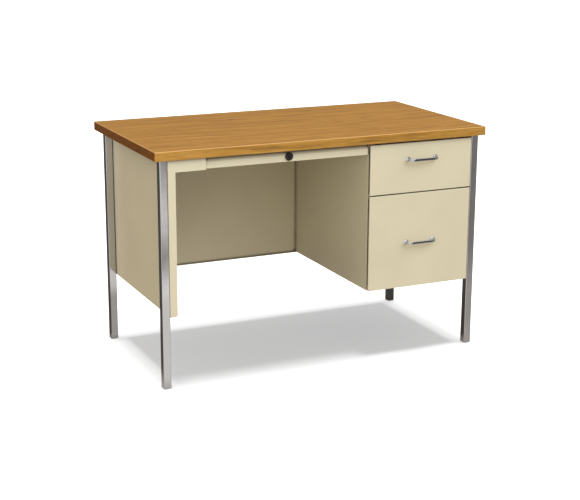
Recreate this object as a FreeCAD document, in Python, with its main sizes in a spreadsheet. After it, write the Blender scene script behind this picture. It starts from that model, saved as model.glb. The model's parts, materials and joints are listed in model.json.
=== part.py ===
"""Single-pedestal steel desk with a laminate top, square chrome legs, a centre drawer with a
lock, a box drawer and a file drawer.

Millimetres. The origin is on the floor under the middle of the top, +X is to the right of a
person who stands in front of the desk, +Y is to the back and +Z is up.
"""
import FreeCAD, Part
import os

import Sketcher

Vector = FreeCAD.Vector

doc = FreeCAD.newDocument("TeacherDesk")
parts = []

# ---------------------------------------------------------------- driving dimensions

DIMENSIONS = {
    # top
    "desk_width": 1149.35,
    "desk_depth": 609.6,
    "desk_height": 749.3,
    "top_thickness": 28.6,
    "top_corner": 3,
    "top_edge_round": 2,
    "edge_band": 2.5,
    "laminate": 1,
    # legs
    "leg_side": 25.4,
    "leg_wall": 1.6,
    "leg_round": 2.5,
    "leg_inset_side": 18.9,
    "leg_inset_front": 14,
    "leg_inset_rear": 36,
    "leg_lift": 2,
    "plug_height": 20,
    "plug_gap": 1,
    "glide_radius": 10,
    "glide_height": 4,
    "stem_radius": 3.95,
    "stem_length": 20,
    # sheet metal
    "sheet": 1.2,
    "bend": 1.5,
    "front_round": 2,
    "hem": 3.2,
    "back_return": 12,
    "face_setback": 0.6,
    "case_base": 230,
    "end_depth": 25.4,
    "pedestal_width": 376.9,
    "rail_depth": 15,
    "rail_height": 20,
    "bottom_rail_height": 19,
    "bottom_rail_depth": 80,
    # kneehole trim
    "trim_depth": 15,
    "trim_arm": 98.1,
    "trim_drop": 39.5,
    "trim_round": 7,
    # pedestal drawers
    "front_depth": 4,
    "front_standoff": 9.3,
    "front_side_gap": 0.6,
    "front_gap": 3.5,
    "file_front_height": 315.5,
    "box_front_height": 165,
    "body_clearance": 20,
    "body_length": 484,
    "box_body_height": 128,
    "box_body_lift": 13,
    "file_body_height": 255,
    # slides of the pedestal drawers
    "slide_length": 480,
    "slide_lead": 5,
    "slide_space": 12.7,
    "slide_height": 44,
    "slide_wall": 1.2,
    "slide_race": 1.5,
    "slide_outer_width": 9.5,
    "slide_middle_offset": 2.6,
    "slide_middle_width": 8.4,
    "slide_inner_width": 7.7,
    "box_slide_lift": 20,
    "file_slide_lift": 118,
    # hanging file rails
    "hang_height": 12,
    "hang_side": 1.5,
    "hang_slot": 1.4,
    "hang_web": 2,
    "hang_end_gap": 4,
    # pulls
    "pull_spacing": 101.6,
    "pull_standoff": 20,
    "pull_bar_length": 116,
    "pull_bar_height": 9,
    "pull_bar_depth": 6,
    "pull_bar_round": 2,
    "pull_foot_width": 22,
    "pull_foot_height": 18,
    "pull_neck_width": 9,
    "pull_neck_height": 8,
    "pull_neck_sink": 1,
    "box_pull_drop": 55,
    "file_pull_drop": 162.5,
    # centre drawer
    "centre_recess": 8,
    "centre_gap_left": 1,
    "centre_gap_right": 5,
    "centre_base": 684,
    "centre_lip": 20,
    "centre_height": 32,
    "centre_slant": 10,
    "centre_fold_shift": 0.4,
    "centre_depth": 14,
    "tray_lift": 2,
    "tray_height": 25,
    "tray_length": 398,
    "channel_lift": 3,
    "channel_lead": 6,
    "channel_length": 410,
    "channel_height": 24,
    "channel_width": 11.7,
    "channel_gap": 14.8,
    "runner_width": 11,
    "runner_length": 385,
    "hanger_gap": 6,
    "hanger_flange": 14,
    "pencil_width": 300,
    "pencil_depth": 80,
    "pencil_height": 16,
    "pencil_wall": 2,
    "pencil_setback": 20,
    # lock
    "lock_lift": 16,
    "bezel_radius": 12.7,
    "bezel_height": 5,
    "bezel_chamfer": 1.2,
    "barrel_radius": 9.5,
    "barrel_length": 24,
    "barrel_clearance": 0.15,
    "lock_bore": 7,
    "running_gap": 0.05,
    "plug_recess": 0.5,
    "stub_radius": 4,
    "stub_length": 4,
    "key_slot_width": 1.6,
    "key_slot_height": 8,
    "key_slot_depth": 6,
    "cam_gap": 0.4,
    "cam_thickness": 2,
    "cam_width": 10,
    "cam_reach": 17,
    "cam_hub": 7,
    "strike_width": 18,
    "strike_sheet": 1.5,
    "strike_setback": 22,
    "strike_bottom_gap": 1,
    "strike_foot": 18,
    "strike_screw": 13,
    # fasteners and stops
    "top_screw_inset": 60,
    "hanger_screw_spacing": 240,
    "screw_radius": 2,
    "screw_length": 16,
    "screw_head_radius": 4,
    "screw_head_height": 2.5,
    "bolt_radius": 2.5,
    "bolt_length": 12,
    "bolt_head_radius": 4,
    "bolt_head_height": 3.5,
    "bolt_end_distance": 60,
    "bolt_inset": 4.5,
    "pull_screw_length": 20,
    "panel_screw_length": 4,
    "panel_screw_offset": 20,
    "bumper_radius": 4,
    "bumper_height": 9,
    "bumper_inset": 30,
    "bumper_gap": 1,
}

dims = doc.addObject("Spreadsheet::Sheet", "dims")
for row, (alias, value) in enumerate(DIMENSIONS.items(), start=1):
    dims.set("A%d" % row, alias)
    dims.set("B%d" % row, str(value))
    dims.setAlias("B%d" % row, alias)
doc.recompute()

# ---------------------------------------------------------------- places, as expressions

LEFT = "(-dims.desk_width / 2)"
RIGHT = "(dims.desk_width / 2)"
FRONT = "(-dims.desk_depth / 2)"
REAR = "(dims.desk_depth / 2)"
UNDERSIDE = "(dims.desk_height - dims.top_thickness)"

LEG_LEFT = f"({LEFT} + dims.leg_inset_side)"
LEG_RIGHT = f"({RIGHT} - dims.leg_inset_side - dims.leg_side)"
LEG_FRONT = f"({FRONT} + dims.leg_inset_front)"
LEG_REAR = f"({REAR} - dims.leg_inset_rear - dims.leg_side)"

PANEL_LEFT = f"({LEG_LEFT} + dims.leg_side)"
PANEL_RIGHT = LEG_RIGHT
KNEE_LEFT = f"({PANEL_LEFT} + dims.end_depth)"
PEDESTAL_LEFT = f"({PANEL_RIGHT} - dims.pedestal_width)"
CASE_HEIGHT = f"({UNDERSIDE} - dims.case_base)"

FACE = f"({LEG_FRONT} + dims.face_setback)"
FRONT_BACK = f"({FACE} + dims.front_depth)"
CASE_FRONT = f"({FRONT_BACK} + dims.front_standoff)"
CASE_REAR = f"({LEG_REAR} + dims.leg_side - dims.face_setback)"
TRIM_BACK = f"({FACE} + dims.trim_depth)"

# pedestal drawers
FRONT_X = f"({PEDESTAL_LEFT} + dims.front_side_gap)"
FRONT_WIDTH = "(dims.pedestal_width - 2 * dims.front_side_gap)"
PULL_X = f"({FRONT_X} + {FRONT_WIDTH} / 2)"
FILE_FRONT_Z = "dims.case_base"
FILE_FRONT_TOP = f"({FILE_FRONT_Z} + dims.file_front_height)"
BOX_FRONT_Z = f"({FILE_FRONT_TOP} + dims.front_gap)"
BOX_FRONT_TOP = f"({BOX_FRONT_Z} + dims.box_front_height)"
SIDE_LEFT_FACE = f"({PEDESTAL_LEFT} + dims.sheet)"
SIDE_RIGHT_FACE = f"({PANEL_RIGHT} - dims.sheet)"
BODY_X = f"({SIDE_LEFT_FACE} + dims.slide_space)"
BODY_WIDTH = "(dims.pedestal_width - 2 * dims.sheet - 2 * dims.slide_space)"
FILE_BODY_Z = f"({FILE_FRONT_Z} + dims.body_clearance)"
BOX_BODY_Z = f"({BOX_FRONT_Z} + dims.box_body_lift)"
FILE_SLIDE_Z = f"({FILE_BODY_Z} + dims.file_slide_lift)"
BOX_SLIDE_Z = f"({BOX_BODY_Z} + dims.box_slide_lift)"
SLIDE_Y = f"({CASE_FRONT} + dims.slide_lead)"

# centre drawer
CENTRE_X = f"({KNEE_LEFT} + dims.trim_arm + dims.centre_gap_left)"
CENTRE_WIDTH = f"({PEDESTAL_LEFT} - dims.centre_gap_right - {CENTRE_X})"
CENTRE_FACE = f"({FACE} + dims.centre_recess)"
CENTRE_BACK = f"({CENTRE_FACE} + dims.centre_depth)"
HANGER_X = f"({KNEE_LEFT} + dims.trim_arm + dims.hanger_gap)"
CHANNEL_LEFT = f"({HANGER_X} + dims.sheet)"
CHANNEL_Y = f"({CENTRE_BACK} + dims.channel_lead)"
TRAY_Z = "(dims.centre_base + dims.tray_lift)"
CHANNEL_Z = f"({TRAY_Z} + dims.channel_lift)"
TRAY_X = f"({CHANNEL_LEFT} + dims.channel_gap)"
TRAY_WIDTH = f"({PEDESTAL_LEFT} - dims.channel_gap - {TRAY_X})"
LOCK_X = f"({CENTRE_X} + {CENTRE_WIDTH} / 2)"
LOCK_Z = "(dims.centre_base + dims.lock_lift)"

# ---------------------------------------------------------------- building blocks

PLANE_OF_AXIS = {"X": "YZ_Plane", "Y": "XZ_Plane", "Z": "XY_Plane"}
IN_PLANE = {"X": (1, 2), "Y": (0, 2), "Z": (0, 1)}
TOLERANCE = 1e-4


def keep(thing, name):
    """Registers an object as a sub-part that gets a file of its own."""
    thing.Label = name
    parts.append(thing)
    return thing


def place(thing, corner):
    """Binds the object's position to three expressions."""
    for letter, expression in zip("xyz", corner):
        thing.setExpression("Placement.Base." + letter, expression)


def new_body(name, corner):
    body = doc.addObject("PartDesign::Body", name)
    place(body, corner)
    return body


def new_sketch(body, axis, offset=None):
    """A sketch square to the axis. The offset is measured along the positive axis."""
    role = PLANE_OF_AXIS[axis]
    plane = next(p for p in body.Origin.OriginFeatures if p.Role == role)
    sketch = body.newObject("Sketcher::SketchObject", body.Name + "_sketch")
    sketch.AttachmentSupport = (plane, "")
    sketch.MapMode = "FlatFace"
    if offset is not None:
        sign = "-1" if axis == "Y" else "1"
        sketch.setExpression("AttachmentOffset.Base.z", f"{sign} * ({offset})")
    return sketch


def add_polygon(sketch, points):
    """A closed outline whose corners are held by expressions from the sketch's origin."""
    first = sketch.GeometryCount
    count = len(points)
    corners = [Vector(i, (i * i) % count, 0) for i in range(count)]
    for i in range(count):
        sketch.addGeometry(Part.LineSegment(corners[i], corners[(i + 1) % count]))
    for i in range(count):
        following = first + (i + 1) % count
        sketch.addConstraint(Sketcher.Constraint("Coincident", first + i, 2, following, 1))
    for i, (across, up) in enumerate(points):
        for kind, expression in (("DistanceX", across), ("DistanceY", up)):
            number = sketch.addConstraint(Sketcher.Constraint(kind, -1, 1, first + i, 1, 1.0))
            sketch.setExpression("Constraints[%d]" % number, expression)


def add_rectangle(sketch, low, high):
    add_polygon(sketch, [low, (high[0], low[1]), high, (low[0], high[1])])


def add_circle(sketch, centre, radius):
    circle = sketch.addGeometry(Part.Circle(Vector(1, 1, 0), Vector(0, 0, 1), 1))
    for kind, expression in (("DistanceX", centre[0]), ("DistanceY", centre[1])):
        number = sketch.addConstraint(Sketcher.Constraint(kind, -1, 1, circle, 3, 1.0))
        sketch.setExpression("Constraints[%d]" % number, expression)
    number = sketch.addConstraint(Sketcher.Constraint("Radius", circle, 1.0))
    sketch.setExpression("Constraints[%d]" % number, radius)


def add_pad(body, sketch, axis, length):
    """Material from the sketch along the positive axis."""
    pad = body.newObject("PartDesign::Pad", body.Name + "_pad")
    pad.Profile = sketch
    pad.setExpression("Length", length)
    pad.Reversed = axis == "Y"
    return pad


def add_pocket(body, sketch, axis, length, towards=1):
    """A cut from the sketch, towards the positive (1) or the negative (-1) axis."""
    pocket = body.newObject("PartDesign::Pocket", body.Name + "_pocket")
    pocket.Profile = sketch
    pocket.setExpression("Length", length)
    normal = -1 if axis == "Y" else 1
    pocket.Reversed = towards == normal
    return pocket


def edges_of(feature, test):
    """Names of the feature's edges that pass a test."""
    return ["Edge%d" % (i + 1) for i, edge in enumerate(feature.Shape.Edges) if test(edge)]


def runs_along(edge, index):
    """True for a straight edge along the row axis with that index."""
    if not isinstance(edge.Curve, (Part.Line, Part.LineSegment)):
        return False
    start, end = edge.Vertexes[0].Point, edge.Vertexes[-1].Point
    span = [abs(a - b) for a, b in zip(start, end)]
    return span[index] > TOLERANCE and sum(span) - span[index] < TOLERANCE


def lies_at(edge, index, value):
    """True for an edge that lies in the plane square to that axis at that value."""
    points = edge.discretize(5)
    return all(abs(p[index] - value) < TOLERANCE for p in points)


def add_fillet(body, base, names, radius):
    fillet = body.newObject("PartDesign::Fillet", body.Name + "_fillet")
    fillet.Base = (base, names)
    fillet.setExpression("Radius", radius)
    doc.recompute()
    return fillet


def plate(name, corner, size):
    """A flat rectangular sheet or block."""
    box = doc.addObject("Part::Box", name)
    for side, expression in zip(("Length", "Width", "Height"), size):
        box.setExpression(side, expression)
    place(box, corner)
    return keep(box, name)


def pan(name, corner, size, facing, rounding="dims.bend", wall="dims.sheet"):
    """A folded sheet: one face and returns on all four sides, open on the other side.
    facing is the side that the face looks to, such as -Y. Without rounding the folds are sharp."""
    axis = facing[1]
    index = "XYZ".index(axis)
    across, up = (size[i] for i in IN_PLANE[axis])
    depth = size[index]
    body = new_body(name, corner)
    outline = new_sketch(body, axis)
    add_rectangle(outline, ("0", "0"), (across, up))
    block = add_pad(body, outline, axis, depth)
    if rounding:
        doc.recompute()
        box = block.Shape.BoundBox
        low = (box.XMin, box.YMin, box.ZMin)[index]
        high = (box.XMax, box.YMax, box.ZMax)[index]
        face = low if facing[0] == "-" else high
        names = edges_of(block, lambda e: lies_at(e, index, face) or runs_along(e, index))
        add_fillet(body, block, names, rounding)
    open_side = depth if facing[0] == "-" else None
    hollow = new_sketch(body, axis, open_side)
    add_rectangle(hollow, (wall, wall), (f"{across} - {wall}", f"{up} - {wall}"))
    add_pocket(body, hollow, axis, f"{depth} - {wall}", -1 if facing[0] == "-" else 1)
    return keep(body, name)


def profile(name, corner, axis, points, length):
    """A bar, channel or folded strip of constant section along the axis."""
    body = new_body(name, corner)
    sketch = new_sketch(body, axis)
    add_polygon(sketch, points)
    add_pad(body, sketch, axis, length)
    return body


def channel_points(side, width, height, wall):
    """A C section. Its web is at 0 and its flanges reach to side * width."""
    tip = f"{side} * {width}"
    web = f"{side} * {wall}"
    above = f"{height} - {wall}"
    outline = [("0", "0"), (tip, "0"), (tip, wall), (web, wall)]
    outline += [(web, above), (tip, above), (tip, height), ("0", height)]
    return outline


def group(name, members):
    """Identical pieces as separate solids of one sub-part."""
    compound = doc.addObject("Part::Compound", name)
    compound.Links = members
    return keep(compound, name)


ROTATION_TO = {
    "+Z": FreeCAD.Rotation(Vector(1, 0, 0), 0),
    "+X": FreeCAD.Rotation(Vector(0, 1, 0), 90),
    "-X": FreeCAD.Rotation(Vector(0, 1, 0), -90),
    "-Y": FreeCAD.Rotation(Vector(1, 0, 0), 90),
}


def headed_pin(name, seat, direction, head, shank):
    """A screw, bolt or glide. The seat is where the head bears, and the shank goes on in the
    direction. head and shank are (radius, length)."""
    body = new_body(name, seat)
    body.Placement.Rotation = ROTATION_TO[direction]
    head_sketch = new_sketch(body, "Z", f"-1 * {head[1]}")
    add_circle(head_sketch, ("0", "0"), head[0])
    add_pad(body, head_sketch, "Z", head[1])
    shank_sketch = new_sketch(body, "Z")
    add_circle(shank_sketch, ("0", "0"), shank[0])
    add_pad(body, shank_sketch, "Z", shank[1])
    return body


def pin_group(name, seats, head, shank):
    """seats lists (seat, direction) of each pin."""
    pins = [
        headed_pin(f"{name}_{number}", seat, direction, head, shank)
        for number, (seat, direction) in enumerate(seats, start=1)
    ]
    return group(name, pins)


# ---------------------------------------------------------------- top


def rounded_slab(name, inset, bottom, height):
    """A layer of the top that lies inside the edge band."""
    body = new_body(name, (f"{LEFT} + {inset}", f"{FRONT} + {inset}", bottom))
    sketch = new_sketch(body, "Z")
    across = f"dims.desk_width - 2 * {inset}"
    deep = f"dims.desk_depth - 2 * {inset}"
    add_rectangle(sketch, ("0", "0"), (across, deep))
    slab = add_pad(body, sketch, "Z", height)
    doc.recompute()
    corners = edges_of(slab, lambda e: runs_along(e, 2))
    add_fillet(body, slab, corners, f"dims.top_corner - {inset}")
    return keep(body, name)


def build_top():
    band = "dims.edge_band"
    core_height = "dims.top_thickness - 2 * dims.laminate"
    rounded_slab("top_backer", band, UNDERSIDE, "dims.laminate")
    rounded_slab("top_core", band, f"{UNDERSIDE} + dims.laminate", core_height)
    rounded_slab("top_laminate", band, "dims.desk_height - dims.laminate", "dims.laminate")
    build_edge_band()


def build_edge_band():
    """A band round the top: a slab with a window, then its corners, then its outer rims."""
    body = new_body("top_edge_band", (LEFT, FRONT, UNDERSIDE))
    sketch = new_sketch(body, "Z")
    add_rectangle(sketch, ("0", "0"), ("dims.desk_width", "dims.desk_depth"))
    add_pad(body, sketch, "Z", "dims.top_thickness")
    window = new_sketch(body, "Z", "dims.top_thickness")
    band = "dims.edge_band"
    far = ("dims.desk_width - dims.edge_band", "dims.desk_depth - dims.edge_band")
    add_rectangle(window, (band, band), far)
    ring = add_pocket(body, window, "Z", "dims.top_thickness", -1)
    doc.recompute()
    inner = edges_of(ring, lambda e: runs_along(e, 2) and not is_outer_corner(e))
    ring = add_fillet(body, ring, inner, "dims.top_corner - dims.edge_band")
    outer = edges_of(ring, lambda e: runs_along(e, 2) and is_outer_corner(e))
    ring = add_fillet(body, ring, outer, "dims.top_corner")
    rims = edges_of(ring, is_outer_rim)
    add_fillet(body, ring, rims, "dims.top_edge_round")
    keep(body, "top_edge_band")


def is_outer_corner(edge):
    """True for the band's four outer upright edges."""
    point = edge.Vertexes[0].Point
    return point.x < TOLERANCE or point.x > dims.desk_width - TOLERANCE


def is_outer_rim(edge):
    """True for the edges round the band's upper and lower outer rims."""
    if not (lies_at(edge, 2, 0) or lies_at(edge, 2, dims.top_thickness)):
        return False
    if isinstance(edge.Curve, Part.Circle):
        return abs(edge.Curve.Radius - dims.top_corner) < TOLERANCE
    point = edge.Vertexes[0].Point
    from_ends = min(point.x, dims.desk_width - point.x)
    return min(from_ends, point.y, dims.desk_depth - point.y) < TOLERANCE


# ---------------------------------------------------------------- legs and feet

LEG_PLACES = {
    "leg_front_left": (LEG_LEFT, LEG_FRONT),
    "leg_front_right": (LEG_RIGHT, LEG_FRONT),
    "leg_rear_left": (LEG_LEFT, LEG_REAR),
    "leg_rear_right": (LEG_RIGHT, LEG_REAR),
}


def build_leg(name, corner):
    """A square tube with rounded outer corners."""
    body = new_body(name, (corner[0], corner[1], "dims.leg_lift"))
    sketch = new_sketch(body, "Z")
    add_rectangle(sketch, ("0", "0"), ("dims.leg_side", "dims.leg_side"))
    bar = add_pad(body, sketch, "Z", f"{UNDERSIDE} - dims.leg_lift")
    doc.recompute()
    add_fillet(body, bar, edges_of(bar, lambda e: runs_along(e, 2)), "dims.leg_round")
    bore = new_sketch(body, "Z")
    far = "dims.leg_side - dims.leg_wall"
    add_rectangle(bore, ("dims.leg_wall", "dims.leg_wall"), (far, far))
    add_pocket(body, bore, "Z", UNDERSIDE, 1)
    keep(body, name)


def build_feet():
    """A plug in each leg, and a levelling glide screwed into it."""
    plugs = []
    seats = []
    inside = "(dims.leg_side - 2 * dims.leg_wall)"
    for name, (x, y) in LEG_PLACES.items():
        corner = (f"{x} + dims.leg_wall", f"{y} + dims.leg_wall")
        plug = new_body(name + "_plug", (*corner, "dims.glide_height + dims.plug_gap"))
        sketch = new_sketch(plug, "Z")
        add_rectangle(sketch, ("0", "0"), (inside, inside))
        middle = f"{inside} / 2"
        add_circle(sketch, (middle, middle), "dims.stem_radius + dims.running_gap")
        add_pad(plug, sketch, "Z", "dims.plug_height")
        plugs.append(plug)
        centre = (f"{x} + dims.leg_side / 2", f"{y} + dims.leg_side / 2")
        seats.append(((*centre, "dims.glide_height"), "+Z"))
    group("leg_end_plugs", plugs)
    head = ("dims.glide_radius", "dims.glide_height")
    pin_group("levelling_glides", seats, head, ("dims.stem_radius", "dims.stem_length"))


# ---------------------------------------------------------------- end panel, trim and back


def build_left_end():
    outer_depth = "dims.end_depth - dims.sheet"
    length = f"({CASE_REAR} - {TRIM_BACK})"
    corner = (PANEL_LEFT, TRIM_BACK, "dims.case_base")
    pan("left_end_panel", corner, (outer_depth, length, CASE_HEIGHT), "-X")
    liner = (f"{KNEE_LEFT} - dims.sheet", TRIM_BACK, "dims.case_base")
    plate("left_end_liner", liner, ("dims.sheet", length, CASE_HEIGHT))


def build_kneehole_trim():
    """An L-shaped folded sheet: an upright beside the leg and an arm under the top."""
    wide = "dims.end_depth"
    far = "(dims.end_depth + dims.trim_arm)"
    high = CASE_HEIGHT
    arm = f"({CASE_HEIGHT} - dims.trim_drop)"
    wall = "dims.sheet"
    body = new_body("kneehole_trim", (PANEL_LEFT, FACE, "dims.case_base"))
    outline = new_sketch(body, "Y")
    outer = [("0", "0"), (wide, "0"), (wide, arm), (far, arm), (far, high), ("0", high)]
    add_polygon(outline, outer)
    block = add_pad(body, outline, "Y", "dims.trim_depth")
    doc.recompute()
    foot = edges_of(block, lambda e: runs_along(e, 1) and is_trim_foot(e))
    rounded = add_fillet(body, block, foot, "dims.trim_round")
    rim = edges_of(rounded, lambda e: lies_at(e, 1, 0))
    add_fillet(body, rounded, rim, "dims.bend")
    hollow = new_sketch(body, "Y", "dims.trim_depth")
    inner = [(wall, wall), (f"{wide} - dims.trim_round", wall)]
    inner += [(f"{wide} - {wall}", "dims.trim_round"), (f"{wide} - {wall}", f"{arm} + {wall}")]
    inner += [(f"{far} - {wall}", f"{arm} + {wall}"), (f"{far} - {wall}", f"{high} - {wall}")]
    inner += [(wall, f"{high} - {wall}")]
    add_polygon(hollow, inner)
    add_pocket(body, hollow, "Y", "dims.trim_depth - dims.sheet", -1)
    keep(body, "kneehole_trim")


def is_trim_foot(edge):
    """True for the lower corner of the trim on the kneehole side."""
    point = edge.Vertexes[0].Point
    return abs(point.z) < TOLERANCE and abs(point.x - dims.end_depth) < TOLERANCE


def build_back():
    depth = "dims.back_return"
    back = f"{CASE_REAR} - dims.back_return"
    span = f"({PEDESTAL_LEFT} - {KNEE_LEFT})"
    corner = (KNEE_LEFT, back, "dims.case_base")
    pan("modesty_panel", corner, (span, depth, CASE_HEIGHT), "+Y")
    inside = "(dims.pedestal_width - 2 * dims.hem)"
    corner = (f"{PEDESTAL_LEFT} + dims.hem", back, "dims.case_base")
    pan("pedestal_back", corner, (inside, depth, CASE_HEIGHT), "+Y")


# ---------------------------------------------------------------- pedestal case


def build_pedestal():
    length = f"({CASE_REAR} - {CASE_FRONT})"
    size = ("dims.hem", length, CASE_HEIGHT)
    pan("pedestal_left_side", (PEDESTAL_LEFT, CASE_FRONT, "dims.case_base"), size, "-X")
    corner = (f"{PANEL_RIGHT} - dims.hem", CASE_FRONT, "dims.case_base")
    pan("pedestal_right_side", corner, size, "+X")
    middle = f"({FILE_FRONT_TOP} + dims.front_gap / 2 - dims.rail_height / 2)"
    depth = "dims.rail_depth"
    high = "dims.rail_height"
    rails = {
        "pedestal_top_rail": (f"{UNDERSIDE} - {high}", depth, high),
        "pedestal_middle_rail": (middle, depth, high),
        "pedestal_bottom_rail": ("dims.case_base", "dims.bottom_rail_depth", "dims.bottom_rail_height"),
    }
    inside = "(dims.pedestal_width - 2 * dims.hem)"
    for name, (bottom, deep, height) in rails.items():
        corner = (f"{PEDESTAL_LEFT} + dims.hem", CASE_FRONT, bottom)
        pan(name, corner, (inside, deep, height), "-Y")
    build_bumpers(middle)


def build_bumpers(middle):
    """Rubber stops on the rails, which the drawer fronts close against."""
    heights = [
        f"{UNDERSIDE} - dims.rail_height / 2",
        f"{middle} + dims.rail_height / 2 + dims.bumper_radius + dims.bumper_gap",
        f"{middle} + dims.rail_height / 2 - dims.bumper_radius - dims.bumper_gap",
        "dims.case_base + dims.bottom_rail_height / 2",
    ]
    ends = [f"{PEDESTAL_LEFT} + dims.bumper_inset", f"{PANEL_RIGHT} - dims.bumper_inset"]
    stops = []
    for x in ends:
        for z in heights:
            stop = doc.addObject("Part::Cylinder", "bumper")
            stop.Placement.Rotation = ROTATION_TO["-Y"]
            stop.setExpression("Radius", "dims.bumper_radius")
            stop.setExpression("Height", "dims.bumper_height")
            place(stop, (x, CASE_FRONT, z))
            stops.append(stop)
    group("drawer_bumpers", stops)


# ---------------------------------------------------------------- slides and drawers


def build_slides(drawer, bottom):
    """The three members of each slide, at both sides of a pedestal drawer."""
    wall = "dims.slide_wall"
    step = "(dims.slide_wall + dims.slide_race)"
    sides = {"left": (SIDE_LEFT_FACE, 1), "right": (SIDE_RIGHT_FACE, -1)}
    members = {
        "outer": ("0", 1, "dims.slide_outer_width", 0),
        "middle": ("dims.slide_middle_offset", 1, "dims.slide_middle_width", 1),
        "inner": ("dims.slide_space", -1, "dims.slide_inner_width", 2),
    }
    for side, (face, way) in sides.items():
        for member, (offset, opening, width, steps) in members.items():
            name = f"{drawer}_slide_{member}_{side}"
            height = f"(dims.slide_height - {2 * steps} * {step})"
            corner = (f"{face} + {way} * {offset}", SLIDE_Y, f"{bottom} + {steps} * {step}")
            points = channel_points(way * opening, width, height, wall)
            keep(profile(name, corner, "Y", points, "dims.slide_length"), name)


def build_pedestal_drawer(drawer, front_z, front_height, body_z, body_height, pull_drop):
    size = (FRONT_WIDTH, "dims.front_depth", front_height)
    pan(f"{drawer}_drawer_front", (FRONT_X, FACE, front_z), size, "-Y", "dims.front_round")
    wall = "dims.sheet"
    corner = (f"{FRONT_X} + {wall}", f"{FRONT_BACK} - {wall}", f"{front_z} + {wall}")
    size = (f"{FRONT_WIDTH} - 2 * {wall}", wall, f"{front_height} - 2 * {wall}")
    plate(f"{drawer}_drawer_liner", corner, size)
    size = (BODY_WIDTH, "dims.body_length", body_height)
    pan(f"{drawer}_drawer_body", (BODY_X, FRONT_BACK, body_z), size, "-Z")
    pull_z = f"({front_z} + {front_height} - {pull_drop})"
    build_pull(drawer, pull_z)


def build_pull(drawer, pull_z):
    """A bar between two flared feet, and the screws that hold it from inside the drawer."""
    name = f"{drawer}_drawer_pull"
    body = new_body(name, (PULL_X, FACE, pull_z))
    half_bar = "(dims.pull_bar_length / 2)"
    half_height = "(dims.pull_bar_height / 2)"
    back = "(-1 * dims.pull_standoff)"
    bar_sketch = new_sketch(body, "X", f"-1 * {half_bar}")
    low = (f"{back} - dims.pull_bar_depth", f"-1 * {half_height}")
    add_rectangle(bar_sketch, low, (back, half_height))
    bar = add_pad(body, bar_sketch, "X", "dims.pull_bar_length")
    doc.recompute()
    add_fillet(body, bar, edges_of(bar, lambda e: runs_along(e, 0)), "dims.pull_bar_round")
    seats = []
    for side in (-1, 1):
        centre = f"({side} * dims.pull_spacing / 2)"
        foot = new_sketch(body, "Y")
        neck = new_sketch(body, "Y", f"{back} - dims.pull_neck_sink")
        add_centred(foot, centre, "dims.pull_foot_width", "dims.pull_foot_height")
        add_centred(neck, centre, "dims.pull_neck_width", "dims.pull_neck_height")
        loft = body.newObject("PartDesign::AdditiveLoft", name + "_foot")
        loft.Profile = foot
        loft.Sections = [neck]
        loft.Ruled = True
        seats.append(((f"{PULL_X} + {centre}", f"{FRONT_BACK} + dims.sheet", pull_z), "-Y"))
    keep(body, name)
    head = ("dims.screw_head_radius", "dims.screw_head_height")
    shank = ("dims.screw_radius", "dims.pull_screw_length")
    pin_group(f"{drawer}_pull_screws", seats, head, shank)


def add_centred(sketch, centre, width, height):
    low = (f"{centre} - {width} / 2", f"-1 * {height} / 2")
    high = (f"{centre} + {width} / 2", f"{height} / 2")
    add_rectangle(sketch, low, high)


def build_hang_rails():
    """Rails for hanging files: an upside-down U on each long wall of the file drawer."""
    width = "(2 * dims.hang_side + dims.hang_slot)"
    high = "dims.hang_height"
    near = "dims.hang_side"
    far = "(dims.hang_side + dims.hang_slot)"
    seat = "(dims.hang_height - dims.hang_web)"
    points = [("0", "0"), (near, "0"), (near, seat), (far, seat), (far, "0")]
    points += [(width, "0"), (width, high), ("0", high)]
    bottom = f"{FILE_BODY_Z} + dims.file_body_height - {seat}"
    middle_of_wall = f"{BODY_X} + dims.sheet / 2"
    offsets = {"left": "0", "right": f"{BODY_WIDTH} - dims.sheet"}
    start = f"{FRONT_BACK} + dims.hang_end_gap"
    length = "dims.body_length - 2 * dims.hang_end_gap"
    rails = []
    for side, offset in offsets.items():
        corner = (f"{middle_of_wall} + {offset} - {width} / 2", start, bottom)
        rails.append(profile(f"hang_rail_{side}", corner, "Y", points, length))
    group("file_hang_rails", rails)


# ---------------------------------------------------------------- centre drawer and lock


def build_centre_front():
    """A folded sheet with an upright lip below, a slant above and a hole for the lock."""
    wall = "dims.sheet"
    deep = "dims.centre_depth"
    high = "dims.centre_height"
    lip = "dims.centre_lip"
    slant = "dims.centre_slant"
    outer = [(deep, "0"), ("0", "0"), ("0", lip), (slant, high), (deep, high)]
    shift = "dims.centre_fold_shift"
    inner = [(deep, f"{high} - {wall}"), (f"{slant} + {shift}", f"{high} - {wall}")]
    inner += [(wall, f"{lip} - {shift}"), (wall, wall), (deep, wall)]
    name = "centre_drawer_front"
    corner = (CENTRE_X, CENTRE_FACE, "dims.centre_base")
    body = profile(name, corner, "X", outer + inner, CENTRE_WIDTH)
    bore_for_barrel(body, f"{CENTRE_WIDTH} / 2", "dims.lock_lift")
    keep(body, name)


def bore_for_barrel(body, across, up):
    """A round hole right through the front wall for the lock's barrel."""
    sketch = new_sketch(body, "Y")
    add_circle(sketch, (across, up), "dims.barrel_radius + dims.barrel_clearance")
    add_pocket(body, sketch, "Y", "dims.centre_depth", 1)


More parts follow.
